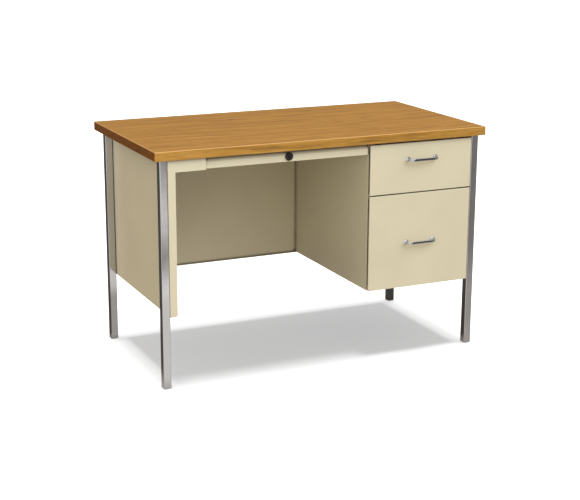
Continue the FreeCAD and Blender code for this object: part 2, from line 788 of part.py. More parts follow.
def build_centre_drawer():
    build_centre_front()
    size = (TRAY_WIDTH, "dims.tray_length", "dims.tray_height")
    corner = (TRAY_X, CENTRE_BACK, TRAY_Z)
    tray = pan("centre_drawer_tray", corner, size, "-Z", rounding=None)
    bore_for_barrel(tray, f"{LOCK_X} - {TRAY_X}", "dims.lock_lift - dims.tray_lift")
    build_pencil_tray()
    wall = "dims.sheet"
    hanger_height = f"{UNDERSIDE} - {CHANNEL_Z}"
    flange = "(-1 * dims.hanger_flange)"
    points = [("0", "0"), (wall, "0"), (wall, hanger_height), (flange, hanger_height)]
    points += [(flange, f"{hanger_height} - {wall}"), ("0", f"{hanger_height} - {wall}")]
    name = "centre_channel_hanger"
    corner = (HANGER_X, CHANNEL_Y, CHANNEL_Z)
    keep(profile(name, corner, "Y", points, "dims.channel_length"), name)
    step = "(dims.slide_wall + dims.slide_race)"
    runner_height = f"(dims.channel_height - 2 * {step})"
    sides = {"left": (CHANNEL_LEFT, 1), "right": (PEDESTAL_LEFT, -1)}
    for side, (face, way) in sides.items():
        name = f"centre_channel_{side}"
        points = channel_points(way, "dims.channel_width", "dims.channel_height", wall)
        corner = (face, CHANNEL_Y, CHANNEL_Z)
        keep(profile(name, corner, "Y", points, "dims.channel_length"), name)
        name = f"centre_runner_{side}"
        points = channel_points(-way, "dims.runner_width", runner_height, wall)
        corner = (f"{face} + {way} * dims.channel_gap", CHANNEL_Y, f"{CHANNEL_Z} + {step}")
        keep(profile(name, corner, "Y", points, "dims.runner_length"), name)


def build_pencil_tray():
    """A moulded tray with one long and two short troughs."""
    wall = "dims.pencil_wall"
    width = "dims.pencil_width"
    deep = "dims.pencil_depth"
    name = "pencil_tray"
    setback = f"{CENTRE_BACK} + dims.pencil_setback"
    body = new_body(name, (f"{LOCK_X} - {width} / 2", setback, f"{TRAY_Z} + dims.sheet"))
    outline = new_sketch(body, "Z")
    add_rectangle(outline, ("0", "0"), (width, deep))
    add_pad(body, outline, "Z", "dims.pencil_height")
    troughs = new_sketch(body, "Z", "dims.pencil_height")
    middle = f"({deep} / 2)"
    centre = f"({width} / 2)"
    add_rectangle(troughs, (wall, f"{middle} + {wall} / 2"), (f"{width} - {wall}", f"{deep} - {wall}"))
    add_rectangle(troughs, (wall, wall), (f"{centre} - {wall} / 2", f"{middle} - {wall} / 2"))
    low = (f"{centre} + {wall} / 2", wall)
    add_rectangle(troughs, low, (f"{width} - {wall}", f"{middle} - {wall} / 2"))
    add_pocket(body, troughs, "Z", f"dims.pencil_height - {wall}", -1)
    keep(body, name)


def turned(name, points):
    """A turned piece: the outline (radius, place along +Y) is revolved about the lock's axis."""
    body = new_body(name, (LOCK_X, CENTRE_FACE, LOCK_Z))
    sketch = new_sketch(body, "Z")
    add_polygon(sketch, points)
    turn = body.newObject("PartDesign::Revolution", name + "_turn")
    turn.Profile = sketch
    turn.ReferenceAxis = (sketch, ["V_Axis"])
    turn.Angle = 360
    return body


def build_lock():
    front = "(-1 * dims.bezel_height)"
    bore = "dims.lock_bore"
    edge = "dims.bezel_chamfer"
    bezel = "dims.bezel_radius"
    barrel = "dims.barrel_radius"
    length = "dims.barrel_length"
    housing = [(bore, front), (f"{bezel} - {edge}", front), (bezel, f"{front} + {edge}")]
    housing += [(bezel, "0"), (barrel, "0"), (barrel, length), (bore, length)]
    keep(turned("lock_housing", housing), "lock_housing")

    plug_face = f"({front} + dims.plug_recess)"
    shoulder = f"({length} + dims.cam_gap)"
    plug_radius = f"({bore} - dims.running_gap)"
    plug = [("0", plug_face), (plug_radius, plug_face), (plug_radius, shoulder)]
    stub_end = f"{shoulder} + dims.stub_length"
    plug += [("dims.stub_radius", shoulder), ("dims.stub_radius", stub_end), ("0", stub_end)]
    body = turned("lock_plug", plug)
    slot = new_sketch(body, "Y", plug_face)
    add_centred(slot, "0", "dims.key_slot_width", "dims.key_slot_height")
    add_pocket(body, slot, "Y", "dims.key_slot_depth", 1)
    keep(body, "lock_plug")

    cam = new_body("lock_cam", (LOCK_X, f"{CENTRE_FACE} + {shoulder}", LOCK_Z))
    outline = new_sketch(cam, "Y")
    low = ("-1 * dims.cam_reach", "-1 * dims.cam_width / 2")
    add_rectangle(outline, low, ("0", "dims.cam_width / 2"))
    add_pad(cam, outline, "Y", "dims.cam_thickness")
    hub = new_sketch(cam, "Y")
    add_circle(hub, ("0", "0"), "dims.cam_hub")
    add_pad(cam, hub, "Y", "dims.cam_thickness")
    hole = new_sketch(cam, "Y")
    add_circle(hole, ("0", "0"), "dims.stub_radius")
    add_pocket(cam, hole, "Y", "dims.cam_thickness", 1)
    keep(cam, "lock_cam")

    wall = "dims.strike_sheet"
    bottom = f"({LOCK_Z} + {barrel} + dims.strike_bottom_gap)"
    high = f"({UNDERSIDE} - {bottom})"
    foot = "dims.strike_foot"
    points = [("0", "0"), (wall, "0"), (wall, f"{high} - {wall}")]
    points += [(foot, f"{high} - {wall}"), (foot, high), ("0", high)]
    corner = (f"{LOCK_X} - dims.strike_width / 2", f"{CENTRE_FACE} + dims.strike_setback", bottom)
    keep(profile("lock_strike", corner, "X", points, "dims.strike_width"), "lock_strike")


# ---------------------------------------------------------------- fasteners


def build_fasteners():
    build_top_screws()
    heights = (
        "dims.case_base + dims.bolt_end_distance",
        f"{UNDERSIDE} - dims.bolt_end_distance",
    )
    build_leg_bolts(heights)
    build_panel_screws(heights)


def build_top_screws():
    """Screws that go up through flanges into the underside of the top."""
    under = f"{UNDERSIDE} - dims.sheet"
    end = f"{PANEL_LEFT} + dims.end_depth / 2"
    hanger = f"{HANGER_X} - dims.hanger_flange / 2"
    back = f"({CASE_REAR} - dims.back_return / 2)"
    rail = f"{CASE_FRONT} + dims.rail_depth / 2"
    inset = "dims.top_screw_inset"
    pedestal_ends = (f"{PEDESTAL_LEFT} + {inset}", f"{PANEL_RIGHT} - {inset}")
    back_ends = (f"{KNEE_LEFT} + {inset}", f"{PEDESTAL_LEFT} - {inset}")
    places = [(end, f"{TRIM_BACK} + {inset}"), (end, f"{CASE_REAR} - {inset}")]
    places += [(x, back) for x in back_ends + pedestal_ends]
    places += [(x, rail) for x in pedestal_ends]
    places += [(hanger, f"{CHANNEL_Y} + {inset}")]
    places += [(hanger, f"{CHANNEL_Y} + {inset} + dims.hanger_screw_spacing")]
    seats = [((x, y, under), "+Z") for x, y in places]
    strike = f"{CENTRE_FACE} + dims.strike_setback + dims.strike_screw"
    seats.append(((LOCK_X, strike, f"{UNDERSIDE} - dims.strike_sheet"), "+Z"))
    head = ("dims.screw_head_radius", "dims.screw_head_height")
    pin_group("top_screws", seats, head, ("dims.screw_radius", "dims.screw_length"))


def build_leg_bolts(heights):
    """Bolts from inside the end panel and the pedestal into the legs."""
    seats = []
    for y in (f"{LEG_FRONT} + dims.leg_side - dims.bolt_inset", f"{LEG_REAR} + dims.bolt_inset"):
        for z in heights:
            seats.append(((f"{PANEL_LEFT} + dims.sheet", y, z), "-X"))
            seats.append(((f"{PANEL_RIGHT} - dims.sheet", y, z), "+X"))
    head = ("dims.bolt_head_radius", "dims.bolt_head_height")
    pin_group("leg_bolts", seats, head, ("dims.bolt_radius", "dims.bolt_length"))


def build_panel_screws(heights):
    """Short screws that hold the two back panels to the end panel and the pedestal sides."""
    back = f"({CASE_REAR} - dims.back_return / 2)"
    seats = []
    for z in heights:
        inside = f"{z} + dims.panel_screw_offset"
        seats.append(((f"{KNEE_LEFT} + dims.sheet", back, z), "-X"))
        seats.append(((f"{PEDESTAL_LEFT} - dims.sheet", back, z), "+X"))
        seats.append(((f"{PEDESTAL_LEFT} + dims.hem + dims.sheet", back, inside), "-X"))
        seats.append(((f"{PANEL_RIGHT} - dims.hem - dims.sheet", back, inside), "+X"))
    head = ("dims.screw_head_radius", "dims.screw_head_height")
    pin_group("panel_screws", seats, head, ("dims.screw_radius", "dims.panel_screw_length"))


# ---------------------------------------------------------------- assembly

build_top()
for leg_name, leg_corner in LEG_PLACES.items():
    build_leg(leg_name, leg_corner)
build_feet()
build_left_end()
build_kneehole_trim()
build_back()
build_pedestal()
build_slides("box", BOX_SLIDE_Z)
build_slides("file", FILE_SLIDE_Z)
build_pedestal_drawer(
    "box", BOX_FRONT_Z, "dims.box_front_height", BOX_BODY_Z, "dims.box_body_height",
    "dims.box_pull_drop",
)
build_pedestal_drawer(
    "file", FILE_FRONT_Z, "dims.file_front_height", FILE_BODY_Z, "dims.file_body_height",
    "dims.file_pull_drop",
)
build_hang_rails()
build_centre_drawer()
build_lock()
build_fasteners()
doc.recompute()

# ---------------------------------------------------------------- checks and files

for thing in doc.Objects:
    if "Invalid" in thing.State or "Error" in thing.State:
        raise RuntimeError(f"{thing.Label} did not build: {thing.State}")
for part in parts:
    if part.Shape.isNull() or not part.Shape.isValid() or part.Shape.Volume <= 0:
        raise RuntimeError(f"{part.Label} has no valid shape")

os.makedirs("parts", exist_ok=True)
for part in parts:
    part.Shape.exportStep(os.path.join("parts", part.Label + ".step"))
print(len(parts), "sub-parts written")
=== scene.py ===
"""Looks for the single-pedestal desk: materials, detailed small pieces, studio and camera.

Metres, in the CAD model's own frame: the origin is on the floor under the middle of the top, +X is
to the sitter's right, +Y is to the back and +Z is up. The drawer fronts face -Y.
"""
import json
import math

import bmesh
import bpy
from mathutils import Matrix, Vector


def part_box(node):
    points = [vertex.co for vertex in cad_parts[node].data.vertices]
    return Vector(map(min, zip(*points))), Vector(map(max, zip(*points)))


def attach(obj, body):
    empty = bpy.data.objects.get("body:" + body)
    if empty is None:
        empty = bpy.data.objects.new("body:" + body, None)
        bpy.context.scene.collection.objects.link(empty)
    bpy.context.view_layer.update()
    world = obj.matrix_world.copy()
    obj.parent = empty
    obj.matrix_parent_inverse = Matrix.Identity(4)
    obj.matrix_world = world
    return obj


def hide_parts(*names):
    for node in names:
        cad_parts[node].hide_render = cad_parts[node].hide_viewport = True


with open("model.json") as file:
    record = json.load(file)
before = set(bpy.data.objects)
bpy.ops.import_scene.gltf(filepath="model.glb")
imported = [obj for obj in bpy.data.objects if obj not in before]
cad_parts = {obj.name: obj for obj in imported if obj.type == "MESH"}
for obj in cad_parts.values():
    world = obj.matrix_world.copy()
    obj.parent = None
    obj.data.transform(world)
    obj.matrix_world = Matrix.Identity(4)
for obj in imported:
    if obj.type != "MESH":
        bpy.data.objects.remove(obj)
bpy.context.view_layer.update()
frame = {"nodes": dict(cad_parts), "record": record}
NODES = frame["nodes"]
BODY_OF = {node: body for body, nodes in frame["record"]["behaviour"]["bodies"].items() for node in nodes}
SLOT_OF = {entry["node"]: entry["material_slot"] for entry in frame["record"]["subparts"]}
MM = 0.001

# ---------------------------------------------------------------- colours


def srgb(red, green, blue):
    """A colour given as 0 to 255 display values, as the linear one that a shader takes."""
    def linear(value):
        share = value / 255
        return share / 12.92 if share <= 0.04045 else ((share + 0.055) / 1.055) ** 2.4
    return (linear(red), linear(green), linear(blue), 1.0)


def scaled(colour, factor):
    """The colour made darker, or lighter up to white."""
    return tuple(min(1.0, channel * factor) for channel in colour[:3]) + (1.0,)


OAK_LIGHT = srgb(189, 137, 57)
OAK_MID = srgb(166, 117, 38)
OAK_DARK = srgb(128, 86, 28)
OAK_PORE = srgb(88, 56, 22)
OAK_KNOT = srgb(84, 52, 26)
# Painted highlight: the paler colour of the band's upper rim.
OAK_RIM_HIGHLIGHT = srgb(212, 164, 100)
EDGE_TINT = (0.97, 1.04, 1.4)
# Painted shade: multiplies the band's faces that look to the left and right.
SIDE_PAINTED_SHADE = (0.46, 0.31, 0.13, 1.0)
CHIP_DARK = srgb(146, 112, 74)
CHIP_LIGHT = srgb(206, 176, 128)
BACKER_DARK = srgb(84, 62, 44)
BACKER_LIGHT = srgb(116, 90, 66)
PUTTY = srgb(206, 197, 164)
ENAMEL_SPECK = srgb(120, 110, 90)
# Painted shade: the dark colour laid into narrow gaps and corners.
GAP_PAINTED_SHADE = srgb(58, 50, 40)
CHROME = (0.525, 0.52, 0.52, 1.0)
CHROME_PIT = srgb(92, 80, 66)
ZINC_DARK = srgb(142, 143, 142)
ZINC_LIGHT = srgb(196, 197, 194)
PLASTIC_BLACK = srgb(32, 32, 33)
RUBBER_BLACK = srgb(28, 28, 28)
PLASTIC_SCUFF = srgb(96, 94, 90)
LOCK_BLACK = srgb(25, 23, 24)
LOCK_METAL = srgb(168, 160, 146)
BLACK = (0, 0, 0, 1)
WHITE = (1, 1, 1, 1)

# ---------------------------------------------------------------- shader building


class Nodes:
    """A node tree. Its methods each add a node and return its output."""

    def __init__(self, tree):
        self.tree = tree

    def put(self, socket, value):
        """Links an output to the socket, or sets a plain value on it."""
        if isinstance(value, bpy.types.NodeSocket):
            self.tree.links.new(value, socket)
        else:
            socket.default_value = value

    def add(self, kind, inputs=None, **settings):
        """A node of that kind. inputs maps a socket's name or number to a value or an output."""
        node = self.tree.nodes.new("ShaderNode" + kind)
        for key, value in settings.items():
            setattr(node, key, value)
        for key, value in (inputs or {}).items():
            self.put(node.inputs[key], value)
        return node

    def math(self, operation, first, second=0.0, clamp=False):
        node = self.add("Math", {0: first, 1: second}, operation=operation, use_clamp=clamp)
        return node.outputs[0]

    def plus(self, first, second):
        return self.math("ADD", first, second)

    def times(self, first, second):
        return self.math("MULTIPLY", first, second)

    def squared(self, value, scale):
        """(value times scale) squared."""
        return self.math("POWER", self.math("ABSOLUTE", self.times(value, scale)), 2)

    def split(self, vector):
        node = self.add("SeparateXYZ", {0: vector})
        return node.outputs[0], node.outputs[1], node.outputs[2]

    def join(self, x, y, z):
        return self.add("CombineXYZ", {0: x, 1: y, 2: z}).outputs[0]

    def stretch(self, vector, scale):
        """The vector times a scale along each axis, which sets a texture's size and direction."""
        node = self.add("VectorMath", {0: vector, 1: scale}, operation="MULTIPLY")
        return node.outputs[0]

    def noise(self, vector, scale=1.0, detail=3.0, roughness=0.5, distortion=0.0):
        """Fractal noise of about 0 to 1. scale is in repeats to the metre."""
        sockets = {"Vector": vector, "Scale": scale, "Detail": detail}
        sockets.update({"Roughness": roughness, "Distortion": distortion})
        return self.add("TexNoise", sockets).outputs["Fac"]

    def cells(self, vector, scale):
        """Voronoi cells: the distance to each one's middle, and a random grey for each."""
        outputs = self.add("TexVoronoi", {"Vector": vector, "Scale": scale}).outputs
        return outputs["Distance"], self.add("RGBToBW", {0: outputs["Color"]}).outputs[0]

    def ramp(self, value, low, high, to_low=0.0, to_high=1.0):
        """Maps low..high to to_low..to_high and clamps it there."""
        names = ("From Min", "From Max", "To Min", "To Max")
        sockets = {"Value": value, **dict(zip(names, (low, high, to_low, to_high)))}
        return self.add("MapRange", sockets).outputs["Result"]

    def mix(self, factor, first, second, blend="MIX"):
        """The first colour where the factor is 0 and the second where it is 1."""
        sockets = {0: factor, 6: first, 7: second}
        return self.add("Mix", sockets, data_type="RGBA", blend_type=blend).outputs[2]


class Shader(Nodes):
    """A material with one Principled surface."""

    def __init__(self, name, **sockets):
        self.material = bpy.data.materials.new(name)
        self.material.use_nodes = True
        super().__init__(self.material.node_tree)
        self.surface = self.tree.nodes["Principled BSDF"]
        self.place = self.add("TexCoord").outputs["Object"]
        self.set(**sockets)

    def set(self, **sockets):
        """Sets or links the surface's sockets: base_color means Base Color."""
        for key, value in sockets.items():
            self.put(self.surface.inputs[key.replace("_", " ").title().replace("Ior", "IOR")], value)

    def facing(self):
        """The three parts of the direction that a face looks in."""
        return self.split(self.add("NewGeometry").outputs["Normal"])

    def edges(self, radius, sharpness=4.0):
        """1 on sharp edges within the radius, 0 on flat faces."""
        soft = self.add("Bevel", {"Radius": radius}, samples=4).outputs[0]
        flat = self.add("NewGeometry").outputs["Normal"]
        agreement = self.add("VectorMath", {0: soft, 1: flat}, operation="DOT_PRODUCT").outputs["Value"]
        return self.math("MULTIPLY", self.math("SUBTRACT", 1.0, agreement), sharpness, clamp=True)

    def gap_shade_mask(self, reach, open_sky=0.82, hidden_sky=0.45):
        """Mask for painted shade: 1 deep in a gap narrower than the reach, 0 on open faces."""
        node = self.add("AmbientOcclusion", {"Distance": reach}, samples=8)
        return self.ramp(node.outputs["AO"], open_sky, hidden_sky)

    def bump(self, height, depth, strength):
        """Links a bump to the surface: height is 0 to 1, and depth is in metres."""
        sockets = {"Height": height, "Distance": depth, "Strength": strength}
        self.set(normal=self.add("Bump", sockets).outputs[0])


# ---------------------------------------------------------------- oak laminate

# Repeats to the metre along and across the grain, detail, roughness, distortion, share of the tone.
GRAIN_LAYERS = (
    ((1.9, 34, 1), 5, 0.65, 0.3, 0.40),
    ((16, 420, 1), 4, 0.7, 0.0, 0.34),
    ((9, 110, 1), 3, 0.65, 0.0, 0.38),
)
# Repeats to the metre of the pores and the veins, and how many metres the grain line wanders.
GRAIN_PORES = (34, 1500, 1)
GRAIN_VEINS = (3.2, 95, 1)
GRAIN_WANDER = 0.05
# Growth rings: radians to the metre, the radians by which they bend, the bends' repeats, the share.
RING_RATE = 150
RING_BEND = 26
RING_BENDS = (1.3, 7, 1)
RING_SHARE = 0.03
VEIN_STRENGTH = 0.38
TOP_PORE_STRENGTH = 0.5
BAND_PORE_STRENGTH = 0.25
# The knot's place. Each rate is one over a half width in metres, along and across the grain.
KNOT = Vector((-0.144, 0.152, 0.0))
KNOT_FLOW_RATES = (11, 60)
KNOT_EYE_RATES = (120, 170)
KNOT_PUSH = -0.75
KNOT_HALO_STRENGTH = 0.45


def oak_grain(shader, along, across, seed):
    """Flat-sawn oak in two coordinates: returns its tone from 0, dark, to 1, its pores and a few
    dark veins."""
    wander = shader.noise(shader.join(along, across, seed), scale=2.3, detail=2)
    line = shader.plus(across, shader.times(shader.math("SUBTRACT", wander, 0.5), GRAIN_WANDER))
    here = shader.join(along, line, seed)
    bend = shader.times(shader.noise(shader.stretch(here, RING_BENDS)), RING_BEND)
    rings = shader.math("SINE", shader.plus(shader.times(line, RING_RATE), bend))
    tone = shader.times(rings, RING_SHARE)
    for scale, detail, roughness, distortion, share in GRAIN_LAYERS:
        layer = shader.noise(shader.stretch(here, scale), 1, detail, roughness, distortion)
        tone = shader.plus(tone, shader.times(layer, share))
    tone = shader.ramp(tone, 0.39, 0.70)
    streaks = shader.noise(shader.stretch(here, GRAIN_PORES), detail=2)
    veins = shader.noise(shader.stretch(here, GRAIN_VEINS), roughness=0.6, distortion=0.4)
    return tone, shader.ramp(streaks, 0.57, 0.70), shader.ramp(veins, 0.60, 0.72)


def knot_flow(shader, along, across):
    """Lets the grain pass round a small knot, and returns the new line, the eye and its halo."""
    right = shader.math("SUBTRACT", along, KNOT.x)
    back = shader.math("SUBTRACT", across, KNOT.y)

    def distance(rates):
        return shader.plus(shader.squared(right, rates[0]), shader.squared(back, rates[1]))

    near = shader.math("DIVIDE", 1.0, shader.plus(1.0, distance(KNOT_FLOW_RATES)))
    push = shader.times(shader.times(back, near), KNOT_PUSH)
    eye = shader.ramp(distance(KNOT_EYE_RATES), 1.6, 0.3)
    return shader.plus(across, push), eye, shader.times(near, near)


def oak(name, along, across, seed, tint=(1, 1, 1), knot=False, band=False):
    """Wood-grain laminate. along and across turn a shader and its place into coordinates. On the edge
    band, painted shade darkens the faces that look to the left and right, and a painted highlight makes
    the upper rim paler."""
    shader = Shader(name, specular_ior_level=0.3)
    place = shader.split(shader.place)
    first, second = along(shader, *place), across(shader, *place)
    if knot:
        second, eye, halo = knot_flow(shader, first, second)
    tone, pores, veins = oak_grain(shader, first, second, seed)
    shades = (OAK_DARK, OAK_MID, OAK_LIGHT, OAK_PORE)
    low, mid, high, pore = [tuple(c * t for c, t in zip(shade, (*tint, 1))) for shade in shades]
    pore_strength = BAND_PORE_STRENGTH if band else TOP_PORE_STRENGTH
    colour = shader.mix(shader.ramp(tone, 0.0, 0.5), low, mid)
    colour = shader.mix(shader.ramp(tone, 0.5, 1.0), colour, high)
    colour = shader.mix(shader.times(veins, VEIN_STRENGTH), colour, pore)
    colour = shader.mix(shader.times(pores, pore_strength), colour, pore)
    if knot:
        colour = shader.mix(shader.times(halo, KNOT_HALO_STRENGTH), colour, low)
        colour = shader.mix(eye, colour, OAK_KNOT)
    if band:
        facing_x, facing_y, facing_z = shader.facing()
        # Painted shade: the band's faces that look to the left and right are darkened.
        end = shader.math("ABSOLUTE", facing_x)
        colour = shader.mix(shader.ramp(end, 0.75, 0.98), colour, SIDE_PAINTED_SHADE, "MULTIPLY")
        # Painted highlight: the band's upward-facing rounding is made paler.
        rim = shader.ramp(facing_z, 0.12, 0.45, to_high=0.8)
        colour = shader.mix(rim, colour, OAK_RIM_HIGHLIGHT)
    shader.set(base_color=colour)
    shader.set(roughness=shader.ramp(tone, 0, 1, 0.46, 0.38))
    shader.bump(shader.times(pores, -1.0), depth=0.04 * MM, strength=0.6)
    return shader.material


def along_x(shader, x, y, z):
    return x


def across_y(shader, x, y, z):
    return y


def along_rim(shader, x, y, z):
    """Runs along each edge of the top, because the other of x and y stays the same there."""
    return shader.plus(x, y)


def across_rim(shader, x, y, z):
    """Height on the band's faces, with a little of y so that its upper rim has grain too."""
    return shader.plus(z, shader.times(y, 0.15))


# ---------------------------------------------------------------- other materials


def enamel(name, colour, roughness=0.4, peel=0.5):
    """Baked enamel on sheet steel: faint mottling, orange peel, slightly rubbed edges, and painted shade
    that darkens it in gaps and near other parts."""
    shader = Shader(name, coat_weight=0.1, coat_roughness=0.25)
    cloud = shader.noise(shader.place, scale=5)
    base = shader.mix(shader.ramp(cloud, 0.35, 0.65), scaled(colour, 0.95), colour)
    rub = shader.noise(shader.place, scale=60, detail=4, roughness=0.7)
    worn = shader.times(shader.edges(0.8 * MM, 3.0), shader.ramp(rub, 0.5, 0.7, to_high=0.5))
    base = shader.mix(worn, base, scaled(colour, 1.12))
    specks = shader.noise(shader.place, scale=330, detail=1, roughness=0.3)
    base = shader.mix(shader.ramp(specks, 0.74, 0.78, to_high=0.12), base, ENAMEL_SPECK)
    # Painted shade: the enamel is darkened where other parts are close, in gaps and corners.
    painted_gap_shade = shader.times(shader.gap_shade_mask(reach=14 * MM), 0.85)
    shader.set(base_color=shader.mix(painted_gap_shade, base, GAP_PAINTED_SHADE))
    shader.set(roughness=shader.ramp(cloud, 0.3, 0.7, roughness - 0.04, roughness + 0.05))
    shader.bump(shader.noise(shader.place, scale=650, detail=2), depth=0.03 * MM, strength=peel)
    return shader.material


def chrome(name, colour, roughness=0.1):
    """Plated steel: polished, with faint draw lines, smudges and a little pitting low down."""
    shader = Shader(name, metallic=1.0)
    smudge = shader.noise(shader.place, scale=34, detail=4, roughness=0.6)
    lines = shader.noise(shader.stretch(shader.place, (1900, 1900, 9)), detail=2)
    low_down = shader.ramp(shader.split(shader.place)[2], 0.11, 0.0)
    pits = shader.noise(shader.place, scale=900, detail=2, roughness=0.6)
    pitting = shader.times(shader.ramp(pits, 0.63, 0.72), low_down)
    shader.set(base_color=shader.mix(shader.times(pitting, 0.6), colour, CHROME_PIT))
    rough = shader.ramp(smudge, 0.35, 0.75, roughness - 0.03, roughness + 0.07)
    shader.set(roughness=shader.plus(rough, shader.times(pitting, 0.3)))
    shader.bump(shader.plus(lines, pitting), depth=0.004 * MM, strength=0.5)
    return shader.material


def zinc(name):
    """Zinc-plated steel with a faint spangle and rolling marks."""
    shader = Shader(name, metallic=0.95)
    spangle = shader.cells(shader.place, scale=160)[1]
    rolled = shader.noise(shader.stretch(shader.place, (900, 6, 900)))
    both = shader.plus(shader.times(spangle, 0.5), shader.times(rolled, 0.5))
    shader.set(base_color=shader.mix(both, ZINC_DARK, ZINC_LIGHT))
    shader.set(roughness=shader.ramp(both, 0.2, 0.8, 0.3, 0.5))
    shader.bump(rolled, depth=0.01 * MM, strength=0.5)
    return shader.material


def moulded(name, colour, roughness=0.5, grain=700):
    """Moulded plastic or rubber with a fine leather-like grain."""
    shader = Shader(name)
    cloud = shader.noise(shader.place, scale=40)
    base = shader.mix(shader.ramp(cloud, 0.3, 0.8), colour, scaled(colour, 1.5))
    scuff = shader.times(shader.edges(0.5 * MM), shader.ramp(cloud, 0.4, 0.7, to_high=0.5))
    shader.set(base_color=shader.mix(scuff, base, PLASTIC_SCUFF))
    shader.set(roughness=shader.ramp(cloud, 0.3, 0.7, roughness - 0.06, roughness + 0.1))
    shader.bump(shader.cells(shader.place, grain)[0], depth=0.05 * MM, strength=0.5)
    return shader.material


def black_enamel(name):
    """Satin black on brass, rubbed to the metal along its sharp edges."""
    shader = Shader(name, coat_weight=0.2, coat_roughness=0.2)
    rub = shader.noise(shader.place, scale=500, detail=4, roughness=0.7)
    rub = shader.ramp(rub, 0.42, 0.6)
    bare = shader.times(shader.edges(0.35 * MM, 5.0), rub)
    shader.set(base_color=shader.mix(bare, LOCK_BLACK, LOCK_METAL))
    shader.set(metallic=shader.times(bare, 0.9))
    shader.set(roughness=shader.ramp(rub, 0, 1, 0.3, 0.42))
    shader.bump(shader.noise(shader.place, scale=1500, detail=2), depth=0.01 * MM, strength=0.5)
    return shader.material


def chipboard(name):
    """Raw particle board: pressed chips in several tones."""
    shader = Shader(name, roughness=0.85)
    relief, tone = shader.cells(shader.stretch(shader.place, (260, 420, 700)), scale=1)
    shader.set(base_color=shader.mix(tone, CHIP_DARK, CHIP_LIGHT))
    shader.bump(relief, depth=0.3 * MM, strength=0.5)
    return shader.material


def backer(name):
    """Brown balancing sheet with a faint fibre."""
    shader = Shader(name, roughness=0.6)
    fibre = shader.noise(shader.stretch(shader.place, (60, 700, 1)), detail=4, roughness=0.6)
    shader.set(base_color=shader.mix(fibre, BACKER_DARK, BACKER_LIGHT))
    shader.bump(fibre, depth=0.03 * MM, strength=0.6)
    return shader.material


SLOT_MATERIALS = {
    "oak_laminate": oak("oak_laminate_grain", along_x, across_y, seed=3.7, knot=True),
    "oak_edge": oak("oak_edge_grain", along_rim, across_rim, seed=8.1, tint=EDGE_TINT, band=True),
    "particle_board": chipboard("chipboard"),
    "backer_sheet": backer("backer_fibre"),
    "putty_steel": enamel("putty_enamel", PUTTY),
    "chrome": chrome("chrome_plate", CHROME),
    "zinc_steel": zinc("zinc_plate"),
    "black_plastic": moulded("black_moulded", PLASTIC_BLACK),
    "black_enamel": black_enamel("black_lock_enamel"),
    "rubber": moulded("black_rubber", RUBBER_BLACK, roughness=0.75, grain=400),
}

for node_name, thing in NODES.items():
    for holder in thing.material_slots:
        holder.material = SLOT_MATERIALS[SLOT_OF[node_name]]

# ---------------------------------------------------------------- mesh building

SHARP_ANGLE = math.radians(35)


def add_to_scene(name, data):
    """A new object that holds the data."""
    thing = bpy.data.objects.new(name, data)
    bpy.context.scene.collection.objects.link(thing)
    return thing


def bridge_rings(work, rings):
    """Faces between rings of vertices, with one face on each end."""
    for lower, upper in zip(rings, rings[1:]):
        for i in range(len(lower)):
            j = (i + 1) % len(lower)
            work.faces.new((lower[i], lower[j], upper[j], upper[i]))
    work.faces.new(rings[0])
    work.faces.new(rings[-1])


def new_piece(name, build, node):
    """A smooth mesh made by build(bmesh), which stands for a CAD node and rides on its body."""
    mesh = bpy.data.meshes.new(name)
    work = bmesh.new()
    build(work)
    bmesh.ops.recalc_face_normals(work, faces=work.faces)
    work.to_mesh(mesh)
    work.free()
    for face in mesh.polygons:
        face.use_smooth = True
    mesh.set_sharp_from_angle(angle=SHARP_ANGLE)
    mesh.materials.append(SLOT_MATERIALS[SLOT_OF[node]])
    piece = add_to_scene(name, mesh)
    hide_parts(node)
    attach(piece, BODY_OF[node])


# ---------------------------------------------------------------- drawer pulls

# A section is (half thickness, half height, roundness): 2 is an ellipse, and more is squarer.
PULL_FOOT = (9.5 * MM, 8 * MM, 2.2)
PULL_NECK = (3.6 * MM, 4.1 * MM, 2.8)
PULL_BAR = (3.0 * MM, 4.6 * MM, 3.6)
PULL_BAR_SET_BACK = 3.2 * MM
PULL_HALF_SPACING = 50.8 * MM
PULL_ELBOW = 14 * MM
PULL_FLARE = 2.2
# Vertices round a section, and sections along each part.
PULL_RING = 40
UPRIGHT_STEPS = 12
ELBOW_STEPS = 10
BAR_STEPS = 8


def blend_sections(start, end, share, roundness_share):
    """A section that goes smoothly from start to end as share goes from 0 to 1."""
    eased = share * share * (3 - 2 * share)
    sizes = [first + (last - first) * eased for first, last in zip(start[:2], end[:2])]
    return (*sizes, start[2] + (end[2] - start[2]) * roundness_share)


def pull_sections(reach):
    """The left half of a pull, from its foot to the middle of its bar: (place along X, place in
    front of the face, direction's angle, half thickness, half height, roundness)."""
    bar_line = reach - PULL_BAR_SET_BACK
    upright = bar_line - PULL_ELBOW
    elbow_end = PULL_ELBOW - PULL_HALF_SPACING
    sections = []
    for step in range(UPRIGHT_STEPS + 1):
        share = step / UPRIGHT_STEPS
        section = blend_sections(PULL_NECK, PULL_FOOT, (1 - share) ** PULL_FLARE, 1 - share)
        sections.append((-PULL_HALF_SPACING, upright * share, 90, *section))
    for step in range(1, ELBOW_STEPS + 1):
        share = step / ELBOW_STEPS
        angle = 90 * (1 - share)
        turn = math.radians(angle)
        x = elbow_end - PULL_ELBOW * math.sin(turn)
        out = upright + PULL_ELBOW * math.cos(turn)
        sections.append((x, out, angle, *blend_sections(PULL_NECK, PULL_BAR, share, share)))
    for step in range(1, BAR_STEPS + 1):
        sections.append((elbow_end * (1 - step / BAR_STEPS), bar_line, 0, *PULL_BAR))
    return sections


